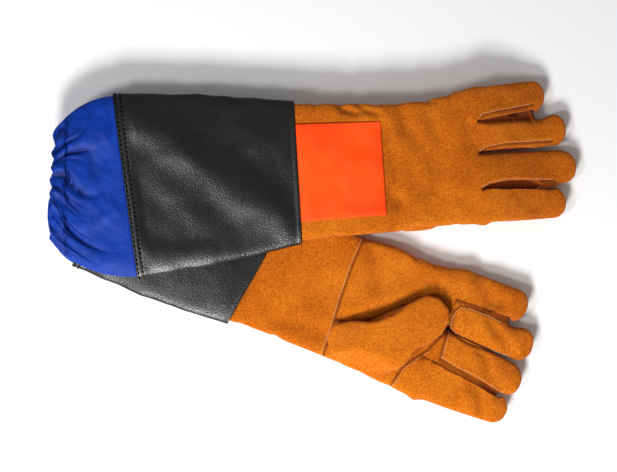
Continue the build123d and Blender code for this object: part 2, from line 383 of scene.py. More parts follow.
def join(objects, name):
    """One object from several."""
    bpy.ops.object.select_all(action="DESELECT")
    for obj in objects:
        obj.select_set(True)
    bpy.context.view_layer.objects.active = objects[0]
    bpy.ops.object.join()
    objects[0].name = name
    return objects[0]


def stuff(obj, pressure, cap):
    """Blows the skin up with cloth pressure, then keeps every point within cap millimetres of its start."""
    start = points(obj)
    cloth = obj.modifiers.new("cloth", "CLOTH")
    cloth.settings.quality = 4
    cloth.settings.use_pressure = True
    cloth.settings.uniform_pressure_force = pressure
    cloth.settings.effector_weights.gravity = 0
    cloth.settings.tension_stiffness = 12
    cloth.settings.compression_stiffness = 8
    cloth.settings.bending_stiffness = 0.6
    for number in range(1, 21):
        scene.frame_set(number)
    only(obj)
    bpy.ops.object.modifier_apply(modifier="cloth")
    scene.frame_set(1)
    moved = points(obj) - start
    length = np.maximum(np.linalg.norm(moved, axis=1, keepdims=True), 1e-6)
    set_points(obj, start + moved * np.minimum(1, cap / length))


thumb_blank = slab("thumb_blank", [(x, y - THUMB_ASIDE) for x, y in THUMB_OUTLINE], BLANK)
skin = join(cut_hand() + [thumb_blank], "skin")
apply_modifier(skin, "REMESH", mode="VOXEL", voxel_size=VOXEL * MM)
apply_modifier(skin, "SMOOTH", factor=0.5, iterations=4)
flat = skin.copy()
flat.data = skin.data.copy()
scene.collection.objects.link(flat)
stuff(skin, 4.0, 14.0)
for obj in (flat, skin):
    apply_modifier(obj, "SUBSURF", levels=1, render_levels=1)
flat_pattern = points(flat)  # where every point lay before it was stuffed
stuffed = points(skin)
bpy.data.objects.remove(flat)
print("skin:", len(stuffed), "points, stuffed to", np.abs(stuffed[:, 2]).max().round(1), "mm from the middle")

# %% [markdown]
# ## Fitting the skin to each glove
# Stuffing draws the sides in, so the skin is fitted back to the width and length that each glove has. The fitting is a
# warp: across the gauntlet and palm between the two long edges, and across each finger about its own centre line, which
# also gives each finger the direction that it points in. Which finger a point belongs to is read from the flat pattern,
# because stuffed fingers press into each other. Last, neighbours are flattened against the line between them.

# %% Edges and fingertips of each glove
EDGES = {  # (x, y) along the little-finger side, then along the index side
    "left": (
        [(-117, 78), (-89, 79.5), (-37, 75.5), (26, 70), (61, 71.5), (96, 78), (112, 81), (125, 85.5)],
        [(-117, -78), (-93, -79.5), (-49, -77), (15, -77), (50, -74.5), (84, -74.5), (106, -75), (125, -80)],
    ),
    "right": (
        [(-117, 77), (-100, 79), (-60, 77), (-10, 69), (33, 73), (75, 70.5), (102, 71.5), (115, 75), (125, 80)],
        [(-117, -77), (-74, -76), (-27, -76), (15, -77), (41, -78), (76, -81.5), (92, -82), (108, -83.5), (125, -89)],
    ),
}
FINGER_ROOM = 0.35  # each side of the line between two fingers that press on each other
OUTER_ROOT = {"left": (90.0, -85.0), "right": (85.0, -97.0)}  # outer sides of little and index finger at their roots
TIPS = {  # middle of the round tip (x, y) and its radius
    "left": dict(zip(LANES, [(181, 74.8, 20), (204, 28, 18.8), (211, -19, 20.6), (197, -63.5, 19.6)])),
    "right": dict(zip(LANES, [(183.5, 67, 20.8), (206.5, 20.5, 19.8), (208, -25.5, 20.2), (206, -67.8, 18.9)])),
}
HALF_THICK = 10.4  # of the leather, where it is flat
THUMB_LANE = 4  # after the four fingers
SLEEVE_SQUEEZE = 0.32  # share of its thickness that the leather loses inside the sleeve
FINGERTIP_DROP = {"left": 22.9, "right": 3.0}  # how far the tips bend to the palm side


def smooth(value, start, end):
    """0 before start, 1 after end, with a soft change between."""
    t = np.clip((value - start) / (end - start), 0, 1)
    return t * t * (3 - 2 * t)


def level(z, top, firm=6.0):
    """Squeezes heights so that the middle levels off at top while the edges stay round."""
    return np.sign(z) * top * (1 - np.exp(-np.abs(z) / firm))


def lane_of(pattern):
    """Which finger each point of the flat pattern lies in line with: 0 to 3, or 4 for the thumb."""
    lanes = np.zeros(len(pattern), int)
    for number, (low, high) in enumerate(LANES.values()):
        lanes[(pattern[:, 1] >= low) & (pattern[:, 1] < high)] = number
    lanes[pattern[:, 1] >= LANES["little"][1]] = 0
    lanes[pattern[:, 1] < LANES["index"][0]] = 3
    lanes[pattern[:, 1] < -THUMB_ASIDE / 2] = THUMB_LANE
    return lanes


def press_apart(side, lanes, x, y):
    """Flattens neighbouring fingers against the line between them, as far as the shorter one reaches."""
    fingers = list(LANES)
    for number, (upper, lower) in enumerate(zip(fingers, fingers[1:])):
        (upper_x, upper_y, upper_r), (lower_x, lower_y, lower_r) = TIPS[side][upper], TIPS[side][lower]
        root_y, end_x = LANES[upper][0], min(upper_x, lower_x)
        end_y = ((upper_y - upper_r) + (lower_y + lower_r)) / 2
        line = root_y + (end_y - root_y) * np.clip((x - ROOT_X) / (end_x - ROOT_X), 0, 1.1)
        room = FINGER_ROOM * smooth(x, 116, 124) - 12 * smooth(x, end_x + 4, end_x + 16)
        y = np.where((lanes == number) & (x > ROOT_X), np.maximum(y, line + room), y)
        y = np.where((lanes == number + 1) & (x > ROOT_X), np.minimum(y, line - room), y)
    return y


def fit_hand(side, co, pattern):
    """The stuffed skin fitted to one glove, and the height of the middle of the glove at every point."""
    out = co.copy()
    lanes = lane_of(pattern)
    hand = lanes < THUMB_LANE
    x = co[:, 0]
    little, index = (np.array(edge, float) for edge in EDGES[side])
    bins = np.arange(-120, 130, 8.0)
    low_now, high_now = [], []
    for b in bins:
        near = hand & (np.abs(x - b) < 7) & (pattern[:, 0] < 125)
        low_now.append(co[near, 1].min() if near.any() else -70)
        high_now.append(co[near, 1].max() if near.any() else 70)
    low_is, high_is = np.interp(x, bins, low_now), np.interp(x, bins, high_now)
    low_to, high_to = np.interp(x, index[:, 0], index[:, 1]), np.interp(x, little[:, 0], little[:, 1])
    share = (co[:, 1] - low_is) / (high_is - low_is)
    across = low_to + share * (high_to - low_to)
    y = np.where(hand, across, co[:, 1])
    for number, (name, (low, high)) in enumerate(LANES.items()):
        mine = lanes == number
        middle_part = mine & (pattern[:, 0] > 145) & (pattern[:, 0] < 175)
        wide_is = (co[middle_part, 1].max() - co[middle_part, 1].min()) / 2
        centre_is = (low + high) / 2
        end_is = co[mine, 0].max()
        tip_x, tip_y, tip_r = TIPS[side][name]
        along = np.clip((x - ROOT_X) / (end_is - ROOT_X), 0, 1)
        reach = ROOT_X + along * (tip_x + tip_r - ROOT_X)
        part = np.clip((reach - ROOT_X) / (tip_x - ROOT_X), 0, 1.25)
        root_high = OUTER_ROOT[side][0] if name == "little" else high
        root_low = OUTER_ROOT[side][1] if name == "index" else low
        root_mid = (root_low + root_high) / 2
        capped = np.minimum(part, 1)
        wide_to = (1 - capped) * ((root_high - root_low) / 2 - 0.6) + capped * tip_r
        wide_to = wide_to + 1.2 * np.sin(math.pi * capped)  # the finger's belly
        centre_to = root_mid + (tip_y - root_mid) * part
        finger_y = centre_to + (co[:, 1] - centre_is) * wide_to / wide_is
        weight = smooth(pattern[:, 0], 106, 134)
        y = np.where(mine, (1 - weight) * y + weight * finger_y, y)
        out[:, 0] = np.where(mine & (x > ROOT_X), reach, out[:, 0])
    out[:, 1] = press_apart(side, lanes, out[:, 0], y)
    under = 1 - smooth(x, -SHOWN[side] - 6, -SHOWN[side] + 5)
    out[:, 2] = level(co[:, 2], HALF_THICK) * (1 - SLEEVE_SQUEEZE * under)
    middle_height = FINGERTIP_DROP[side] * smooth(out[:, 0], 112, 216)
    middle_height[~hand] = 0
    out[:, 2] += middle_height
    return out, middle_height


print("fitting ready for", list(TIPS))

# %% [markdown]
# ## The thumb
# The thumb is a separate stuffed piece that lies over the palm. Its root comes round from the index side of the wrist,
# so there it sinks into the palm, and its tip lies free over the base of the fingers.

# %% Lay the thumb over the palm
THUMB_MID = HALF_THICK + 8.4
THUMB_HALF = 8.6
THUMB_CENTRE = np.array([66.0, -28.0])
THUMB_SIZE = 1.09  # makes up for what stuffing draws in
THUMB_SHIFT = np.array([[-3.0, 4.0]])  # of its tip, back and towards the little finger


def lay_thumb(co, pattern, middle_height):
    """Moves the stuffed thumb from beside the hand to over the palm."""
    thumb = lane_of(pattern) == THUMB_LANE
    own = stuffed[thumb].copy()
    own[:, 1] += THUMB_ASIDE
    own[:, :2] = THUMB_CENTRE + (own[:, :2] - THUMB_CENTRE) * THUMB_SIZE
    own[:, :2] += THUMB_SHIFT * smooth(own[:, :1], 40, 92)
    sink_side = 14.0 * (1 - smooth(own[:, 1], -80, -48))
    sink_root = 13.0 * (1 - smooth(own[:, 0], 2, 40))
    middle_height[thumb] = THUMB_MID - np.maximum(sink_side, sink_root)
    own[:, 2] = level(own[:, 2], THUMB_HALF, 5.0) + middle_height[thumb]
    co[thumb] = own


print("thumb ready")

# %% [markdown]
# ## Seams and folds in the skin
# A seam is a narrow trough between two soft lips. It is pressed into the subdivided skin, point by point, along a line
# that is given on the palm side or on the back. How dark the leather is drawn there is stored as well: a darker seam
# line, and painted shade in folds and hollows.

# %% Press lines into the skin
def distance_to(path, co):
    """Distance in millimetres from each point to a line of (x, y) points, seen from above."""
    best = np.full(len(co), 1e9)
    for (ax, ay), (bx, by) in zip(path[:-1], path[1:]):
        along = np.array([bx - ax, by - ay], float)
        t = np.clip(((co[:, 0] - ax) * along[0] + (co[:, 1] - ay) * along[1]) / (along @ along), 0, 1)
        gap = np.hypot(co[:, 0] - ax - t * along[0], co[:, 1] - ay - t * along[1])
        best = np.minimum(best, gap)
    return best


def press(co, inward, seam_and_shade, chosen, path, width, depth, lip=0.4, dark=0.8):
    """Presses a trough into the chosen points, towards the middle of the glove, and stores how dark it is drawn there.
    """
    gap = distance_to(path, co)
    trough = np.exp(-((gap / width) ** 2))
    lips = np.exp(-(((gap - 1.9 * width) / width) ** 2))
    co[:, 2] += np.where(chosen, inward * (depth * trough - lip * lips), 0)
    # Darkness for the colour: a darker seam line, and painted shade where the trough is a fold or hollow.
    seam_and_shade[:] = np.maximum(seam_and_shade, np.where(chosen, dark * np.exp(-((gap / (0.75 * width)) ** 2)), 0))


def ripple(co, chosen, size, height, seed):
    """Soft undulation of the chosen points, from noise of a given size in millimetres."""
    height = np.broadcast_to(height, len(co))
    for i in np.nonzero(chosen)[0]:
        x, y, z = co[i]
        co[i, 2] += height[i] * noise.noise(Vector((x / size + seed, y / size, seed * 1.7)))


BACK_SEAMS = [  # on the back: where each finger's side strip is sewn in
    [(120, 44), (126, 49), (150, 52.5), (186, 57)],
    [(119, 6.5), (126, 11), (150, 14), (206, 14)],
    [(119, -35), (126, -31), (150, -28), (204, -32)],
]
PALM_SEAMS = [  # on the palm: wrist, base of the ring finger, base of the middle finger
    [(-1, 74), (-3, 38), (-1.5, -10), (1, -34), (3, -82)],
    [(182, 36), (164, 38), (142, 38), (131, 36), (126, 28), (125, 16), (129, 4), (152, -2), (206, -1)],
    [(127.5, 3), (128.5, -12), (130.5, -30), (154, -34), (180, -37), (212, -43)],
]
# The hollow along the thumb's inner side, the wrist on the back, the line where the thumb rests on the palm, and the
# seam between the index finger's heel and the palm.
THUMB_HOLLOW = [(8, -28), (32, -19), (50, -2), (66, 14), (82, 27), (97, 31), (112, 27), (123, 17), (128, 5)]
BACK_WRIST = [(-3, 72), (1, 30), (1, -30), (-2, -74)]
THUMB_EDGE = [
    (3, -31), (18, -28.5), (32, -22.5), (48, -7), (66, 10.5), (83, 23), (95, 26.5), (109, 24), (120, 15.5), (126, 4),
]
INDEX_SEAM = [(124, 3), (120, -10), (114, -25), (102.5, -40), (93, -55), (88, -80)]
FOLDS = {  # soft folds of the leather: (path, width, depth, on the palm)
    "left": [
        ([(28, 72), (34, 45), (46, 25)], 8, 2.4, False),
        ([(-42, 78), (-34, 68), (-18, 62)], 4, 2.6, False),
        ([(-18, 74), (-10, 65), (4, 60)], 4, 2.2, False),
        ([(12, -76), (20, -60), (22, -40)], 7, 2.0, False),
        ([(62, 45), (70, 10), (60, -30)], 12, 1.6, False),
        ([(8, 40), (16, 0), (10, -40)], 9, 1.5, False),
    ],
    "right": [
        ([(10, 62), (24, 40), (30, 22)], 9, 2.4, True),
        ([(138, 74), (150, 62), (160, 54), (174, 54)], 8, 2.6, True),
        ([(168, 32), (180, 22), (196, 12), (206, 4)], 6, 2.4, True),
        ([(170, -6), (180, -12), (190, -26), (188, -38)], 6, 2.4, True),
        ([(178, -46), (190, -56), (198, -74)], 7, 2.0, True),
        ([(-60, -60), (-30, -50), (-5, -55)], 10, 1.4, True),
    ],
}
print("seams:", len(BACK_SEAMS), "on the back,", len(PALM_SEAMS), "on the palm")

# %% [markdown]
# ## Cutting the skin into pieces
# Fingers, thumb and wrist bend at hinges, and one piece can bend at one hinge. So the finished skin is cut where two
# neighbouring pieces both move with the hand. The cut doesn't show, because each piece keeps the normals that the
# whole skin had. The gauntlet's end inside the sleeve is cut open, and the leather there gets its thickness.

# %% Cut the leather into pieces
CUT_X = 117.0
CUFF_END = {"left": -106.0, "right": -114.0}  # the leather's open end, hidden in the sleeve
LEATHER = 1.6
STRIPS = ((41.0, 3.5), (6.0, 7.0), (-34.0, 8.0))  # a finger's side strip beside its neighbour: edge and width
PIECES = ["little", "ring", "middle", "index", "thumb"]
PALM_NODES = (
    "gauntlet_back", "gauntlet_palm", "palm_heel", "hand_back", "palm", "wrist_welt", "hand_lining", "gauntlet_lining",
)


def new_attribute(obj, name, kind, values):
    """Stores a number or a vector for each of the mesh's points."""
    attribute = obj.data.attributes.new(name, kind, "POINT")
    attribute.data.foreach_set("vector" if kind == "FLOAT_VECTOR" else "value", np.asarray(values, np.float32).ravel())


def at_faces(obj, name):
    """A stored number at the first point of each face."""
    return read(obj.data.attributes[name].data, "value", 1)[[p.vertices[0] for p in obj.data.polygons]]


def separate(obj, faces, name):
    """Cuts the marked faces off as a new object."""
    only(obj)
    bpy.ops.object.mode_set(mode="EDIT")
    bpy.ops.mesh.select_mode(type="FACE")
    bpy.ops.mesh.select_all(action="DESELECT")
    bpy.ops.object.mode_set(mode="OBJECT")
    obj.data.polygons.foreach_set("select", faces)
    bpy.ops.object.mode_set(mode="EDIT")
    before = set(bpy.data.objects)
    bpy.ops.mesh.separate(type="SELECTED")
    bpy.ops.object.mode_set(mode="OBJECT")
    (cut,) = set(bpy.data.objects) - before
    cut.name = name
    return cut


def keep_normals(obj):
    """Gives a cut piece the normals of the whole skin; points that a wall added keep their own."""
    mesh = obj.data
    own = read(mesh.vertex_normals, "vector", 3)
    kept = read(mesh.attributes["skin_normal"].data, "vector", 3)
    same = (own * kept).sum(axis=1) > 0.2
    own[same] = kept[same]
    mesh.normals_split_custom_set_from_vertices(own.tolist())
    mesh.attributes.remove(mesh.attributes["skin_normal"])


def to_row(obj, side):
    """Moves a mesh from the glove's own frame to the row frame, with its faces outwards."""
    obj.data.transform(LAY[side])
    rest_on_table(obj)
    if side == "left":
        obj.data.flip_normals()
    obj.data.update()


def dress(obj, material):
    """Gives a piece its one material."""
    obj.data.materials.clear()
    obj.data.materials.append(material)


def make_hand(side):
    """All the leather of one glove, as six pieces."""
    hand = skin.copy()
    hand.data = skin.data.copy()
    scene.collection.objects.link(hand)
    co, middle_height = fit_hand(side, stuffed, flat_pattern)
    lay_thumb(co, flat_pattern, middle_height)
    lanes = lane_of(flat_pattern)
    pattern_x, pattern_y = flat_pattern[:, 0], flat_pattern[:, 1]
    palm_side = co[:, 2] > middle_height
    inward = np.where(palm_side, -1.0, 1.0)
    seam_and_shade = np.zeros(len(co))
    body, thumb = lanes < THUMB_LANE, lanes == THUMB_LANE
    shown = smooth(co[:, 0], -SHOWN[side] - 2, -SHOWN[side] + 12)
    ripple(co, body & (palm_side == (side == "right")), 46, 2.4 * shown, 3.1)
    ripple(co, body, 17, 1.1 * shown, 5.7)
    ripple(co, thumb, 30, 1.2, 9.3)
    back, palm = body & ~palm_side, body & palm_side
    # Soft folds get a faint painted shade.
    for path, width, depth, on_palm in FOLDS[side]:
        press(co, inward, seam_and_shade, palm if on_palm else back, path, width, depth, 0.5, 0.16)
    for path in BACK_SEAMS:
        press(co, inward, seam_and_shade, back, path, 1.7, 1.3)
    for path in PALM_SEAMS + [INDEX_SEAM]:
        press(co, inward, seam_and_shade, palm, path, 1.8, 1.5)
    # Painted shade in the hollow beside the thumb, and a deep painted shadow that the thumb casts along its edge.
    press(co, inward, seam_and_shade, palm, THUMB_HOLLOW, 7.0, 4.5, 0.3, 0.6)
    press(co, inward, seam_and_shade, palm, THUMB_EDGE, 3.6, 1.5, 0.0, 0.97)
    for edge_y, wide in STRIPS:  # lens-shaped, low and in shade
        off = pattern_y - edge_y
        lens = np.sqrt(np.clip(1 - ((pattern_x - 150) / 32) ** 2, 0, 1))
        strip = smooth(off, -5, -2) * (1 - smooth(off, wide * lens - 0.5, wide * lens + 1.5)) * smooth(lens, 0, 0.4)
        # Painted shade on each finger's side strip.
        seam_and_shade[:] = np.maximum(seam_and_shade, np.where(back, 0.93 * strip, 0))
        # Painted shade in the crevice between two fingers.
        crevice_shade = 0.85 * np.exp(-((off / 4.5) ** 2))
        seam_and_shade[:] = np.maximum(seam_and_shade, np.where(body & (pattern_x > 122), crevice_shade, 0))
        co[:, 2] += np.where(back, inward * 3.6 * strip, 0)
    set_points(hand, co)
    new_attribute(hand, "seam_and_shade", "FLOAT", seam_and_shade)
    to_row(hand, side)
    hand.data.shade_smooth()
    new_attribute(hand, "skin_normal", "FLOAT_VECTOR", read(hand.data.vertex_normals, "vector", 3))
    new_attribute(hand, "lane", "FLOAT", lanes)
    new_attribute(hand, "pattern_x", "FLOAT", pattern_x)
    made = {}
    for number, name in enumerate(PIECES):
        lane, x = at_faces(hand, "lane"), at_faces(hand, "pattern_x")
        mine = (lane == number) & ((x > CUT_X) | (number == THUMB_LANE))
        made[name] = separate(hand, mine, f"{side}_{name}_leather")
    cap = separate(hand, at_faces(hand, "pattern_x") < CUFF_END[side], "cap")
    bpy.data.objects.remove(cap)
    apply_modifier(hand, "SOLIDIFY", thickness=LEATHER * MM, offset=-1.0)
    made["palm"] = hand
    hand.name = side + "_palm_leather"
    for name, obj in made.items():
        keep_normals(obj)
        for attribute in ("lane", "pattern_x"):
            obj.data.attributes.remove(obj.data.attributes[attribute])
        dress(obj, tan_suede)
        if name == "palm":
            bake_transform(obj)
            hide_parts(*[f"{side}_{n}" for n in PALM_NODES])
        elif name == "thumb":
            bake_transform(obj)
            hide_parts(*[f"{side}_{n}" for n in ("thumb_base", "thumb_inner", "thumb_outer")])
        else:
            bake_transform(obj)
            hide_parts(*[f"{side}_{name}_{n}" for n in ("back", "front", "side_strip")])
    print(side, "leather:", {n: len(o.data.polygons) for n, o in made.items()})
    return made


leather = {side: make_hand(side) for side in ("left", "right")}
bpy.data.objects.remove(skin)

# %% [markdown]
# ## Coated sleeve
# The sleeve is cloth with a black vinyl coat: a fine pebble grain with a semi-gloss that shows every soft fold as a
# long highlight. The grain on real cloth is about a millimetre. It is drawn at 1.4, so that it shows.

# %% Leatherette, nylon and the other finishes
def leatherette():
    """Vinyl-coated cloth: pebble grain under a semi-gloss coat."""
    material, tree, shader, place = new_finish("black_leatherette", {"Roughness": 0.34, "Specular IOR Level": 0.5})
    cloud = add(tree, "TexNoise", {"Scale": 30.0, "Detail": 3.0}, {"Vector": place})
    black = ramp(tree, cloud.outputs["Fac"], [(0.35, linear("#0c0c0c")), (0.65, linear("#131312"))])
    tree.links.new(black, shader.inputs["Base Color"])
    pebble = add(tree, "TexVoronoi", {"Scale": 720.0, "feature": "SMOOTH_F1"}, {"Vector": place})
    soft = add(tree, "TexNoise", {"Scale": 170.0, "Detail": 2.0}, {"Vector": place})
    rough = add(tree, "MapRange", {"To Min": 0.3, "To Max": 0.38}, {"Value": soft.outputs["Fac"]})
    tree.links.new(rough.outputs[0], shader.inputs["Roughness"])
    wave = add(tree, "Bump", {"Strength": 0.1, "Distance": 0.0008}, {"Height": soft.outputs["Fac"]})
    grain_links = {"Height": pebble.outputs["Distance"], "Normal": wave.outputs[0]}
    grain = add(tree, "Bump", {"Strength": 0.6, "Distance": 0.00045}, grain_links)
    tree.links.new(grain.outputs[0], shader.inputs["Normal"])
    return material


def nylon():
    """Woven nylon: a tight weave with a satin sheen. Its threads are drawn at 0.75 mm, coarser than real ones."""
    material, tree, shader, place = new_finish("blue_nylon", {"Roughness": 0.45, "Specular IOR Level": 0.16})
    cloud = add(tree, "TexNoise", {"Scale": 60.0, "Detail": 3.0}, {"Vector": place})
    blue = ramp(tree, cloud.outputs["Fac"], [(0.3, linear("#032c86")), (0.7, linear("#06379e"))])
    # Painted shade: the blue turns dark navy in the gather valleys and along the casing's pinch.
    darken_seams_and_shade(tree, shader, blue, "#050f46")
    warp = add(tree, "TexWave", {"Scale": 420.0, "bands_direction": "X"}, {"Vector": place})
    weft = add(tree, "TexWave", {"Scale": 420.0, "bands_direction": "Y"}, {"Vector": place})
    weave = add(tree, "Math", {"operation": "ADD"}, {0: warp.outputs["Fac"], 1: weft.outputs["Fac"]})
    crinkle = add(tree, "TexNoise", {"Scale": 130.0, "Detail": 4.0}, {"Vector": place})
    broad = add(tree, "Bump", {"Strength": 0.5, "Distance": 0.0015}, {"Height": crinkle.outputs["Fac"]})
    fine_links = {"Height": weave.outputs[0], "Normal": broad.outputs[0]}
    fine = add(tree, "Bump", {"Strength": 0.2, "Distance": 0.0003}, fine_links)
    tree.links.new(fine.outputs[0], shader.inputs["Normal"])
    return material


def signal_leather():
    """Smooth grain leather dyed a signal orange: even colour, small creases, a low shine."""
    material, tree, shader, place = new_finish("signal_orange_leather", {"Roughness": 0.6, "Specular IOR Level": 0.2})
    cloud = add(tree, "TexNoise", {"Scale": 14.0, "Detail": 2.0}, {"Vector": place})
    dye = ramp(tree, cloud.outputs["Fac"], [(0.3, linear("#fa3a02")), (0.7, linear("#fd5208"))])
    tree.links.new(dye, shader.inputs["Base Color"])
    crease = add(tree, "TexNoise", {"Scale": 420.0, "Detail": 4.0, "Roughness": 0.6}, {"Vector": place})
    bump = add(tree, "Bump", {"Strength": 0.25, "Distance": 0.0004}, {"Height": crease.outputs["Fac"]})
    tree.links.new(bump.outputs[0], shader.inputs["Normal"])
    return material


def thread(name, dark, light, shine=0.3):
    """Twisted sewing thread: fine slanting plies, a little shine."""
    material, tree, shader, place = new_finish(name, {"Roughness": 0.8, "Specular IOR Level": shine})
    ply = add(tree, "TexWave", {"Scale": 900.0, "bands_direction": "DIAGONAL"}, {"Vector": place})
    colour = ramp(tree, ply.outputs["Fac"], [(0.2, linear(dark)), (0.8, linear(light))])
    tree.links.new(colour, shader.inputs["Base Color"])
    return material


vinyl = leatherette()
blue_cloth = nylon()
orange_leather = signal_leather()
tan_thread = thread("tan_thread", "#c88a50", "#f2c48c")
black_thread = thread("black_thread", "#010101", "#050505", 0.0)
print("finishes:", len(bpy.data.materials))

# %% [markdown]
# ## Tubes that lie flat
# Sleeve and cuff are tubes that lie flat. A grid is rolled up: one way along the tube, the other way round it. Its
# cross-section is a flat rounded oblong, and folds are added as the tube is rolled, so the seam closes on itself.

# %% Roll a grid into a tube
SLEEVE_BEND = {"left": 0.0, "right": math.radians(-7.2)}
CUFF_LAID = {"left": 83.0, "right": 45.0}
SLEEVE_LONG = 199.0
OBLONG = 3.2  # power of the rounded oblong: 2 is an ellipse
HEM_ROWS = {"outer": 2.3, "inner": 8.0}  # stitch rows, back from the hem


def field(x, y, size, seed):
    """Noise between about -1 and 1 at points of a plane."""
    return np.array([noise.noise(Vector((a / size, b / size, seed))) * 1.6 for a, b in zip(x, y)])


def around_tube(v):
    """Where a share of a turn lies on the oblong: across and up, from -1 to 1."""
    c, s = np.cos(2 * math.pi * v), np.sin(2 * math.pi * v)
    return np.sign(c) * np.abs(c) ** (2 / OBLONG), np.sign(s) * np.abs(s) ** (2 / OBLONG)


def sleeve_to_hand(side, co):
    """Turns points of the sleeve's own frame, which starts at its wrist edge, into the glove's frame."""
    turn = SLEEVE_BEND[side]
    out = co.copy()
    out[:, 0] = co[:, 0] * math.cos(turn) - co[:, 1] * math.sin(turn) - SHOWN[side]
    out[:, 1] = co[:, 0] * math.sin(turn) + co[:, 1] * math.cos(turn)
    return out


def roll(name, side, along, around, shape, wall, material):
    """A closed tube from a grid. shape(u, v) gives millimetres in the sleeve's frame, and how much painted shade each
    point gets.
    """
    bpy.ops.mesh.primitive_grid_add(x_subdivisions=along, y_subdivisions=around, size=1)
    obj = bpy.context.object
    obj.name = name
    grid = read(obj.data.vertices, "co", 3)
    made, seam_and_shade = shape(grid[:, 0] + 0.5, (grid[:, 1] + 0.5) % 1.0)
    set_points(obj, sleeve_to_hand(side, made))
    new_attribute(obj, "seam_and_shade", "FLOAT", seam_and_shade)
    obj.data.transform(LAY[side])
    rest_on_table(obj)
    bpy.ops.object.mode_set(mode="EDIT")
    bpy.ops.mesh.select_all(action="SELECT")
    bpy.ops.mesh.remove_doubles(threshold=1e-6)
    bpy.ops.mesh.normals_make_consistent(inside=False)
    bpy.ops.object.mode_set(mode="OBJECT")
    apply_modifier(obj, "SOLIDIFY", thickness=wall * MM, offset=-1.0)
    obj.data.shade_smooth()
    dress(obj, material)
    return obj


# %% [markdown]
# ## The sleeve's folds
# The sleeve carries broad soft folds that run mostly across it, and a few long ones from the elbow end. Its wrist edge
# is rolled over the suede, and its hem is a folded band with two rows of stitches that pull it in.

# %% Roll the sleeves
RIDGES = [  # (path, half width, height): the long soft folds of the sleeve
    ([(-185, 72), (-150, 48), (-110, 14), (-60, -22), (-15, -50), (0, -62)], 24, 4.6),
    ([(-190, 22), (-165, 10), (-140, -12), (-118, -44)], 17, 2.0),
    ([(-178, -84), (-135, -86), (-90, -78)], 15, 2.2),
    ([(-70, 70), (-40, 40), (-12, 30)], 20, 1.6),
]


def sleeve_shape(side):
    """The sleeve's rule for roll()."""
    lift = 1.0 if side == "left" else 0.6

    def shape(u, v):
        across, high = around_tube(v)
        wide = [82.5, 90, 99.5, 107.5] if side == "left" else [82.5, 91.5, 101, 108]
        half = np.interp(u, [0, 0.25, 0.55, 1], wide)
        y = across * half
        x = -SLEEVE_LONG * u - 0.056 * y * u + 0.022 * y * (1 - u)
        broad = field(x * 0.75 + y * 0.35, y * 0.8 - x * 0.2, 58, 2.3 + (side == "left"))
        small = field(x, y * 1.3, 26, 7.1)
        plan = np.stack([x, y], axis=1)
        ridge = sum(h * np.exp(-((distance_to(path, plan) / w) ** 2)) for path, w, h in RIDGES)
        calm = smooth(u, 0.0, 0.12) * (1 - smooth(u, 0.9, 0.97))
        free = (high < 0) & (side == "left")  # only the upper glove's upper side is free to rise
        swell = lift * calm * (1.6 * broad + 0.5 * small + np.where(free, ridge, 0.25 * ridge) - 1.2)
        swell = np.where(free, swell, np.minimum(swell, 0.6)) + 0.8 * (1 - smooth(u, 0.012, 0.03))
        z = high * 10.4 + np.sign(high) * swell * np.abs(high) ** 0.5
        dip = sum(np.exp(-((((1 - u) * SLEEVE_LONG - back) / 0.9) ** 2)) for back in HEM_ROWS.values())
        z -= np.sign(high) * 0.4 * dip
        y = y + across * 1.2 * field(x, y, 24, 11.0) * calm
        return np.stack([x, y, z], axis=1), np.zeros(len(u))

    return shape


for side in ("left", "right"):
    sleeve = roll(side + "_sleeve_cloth", side, 150, 220, sleeve_shape(side), 1.0, vinyl)
    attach(sleeve, side + "_sleeve")
    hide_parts(*[f"{side}_{n}" for n in ("sleeve_back", "sleeve_palm", "hem_facing")])
    print(side, "sleeve:", len(sleeve.data.polygons))

# %% [markdown]
# ## The gathered cuff
# The cuff is a wide nylon tube drawn in by an elastic band in a casing at its end. Gathers start at the casing's
# stitch line, deep and sharp there, and die out towards the hem. Each gather is a rounded ridge between two narrow
# valleys, so the wave is a folded sine and not a plain one, and slow noise makes some gathers deeper than others.

# %% Roll the cuffs
TUCKED = 9.0  # millimetres of cuff inside the sleeve's hem
CASING_AT = 0.80  # share of the cuff's length where the casing's stitch line runs


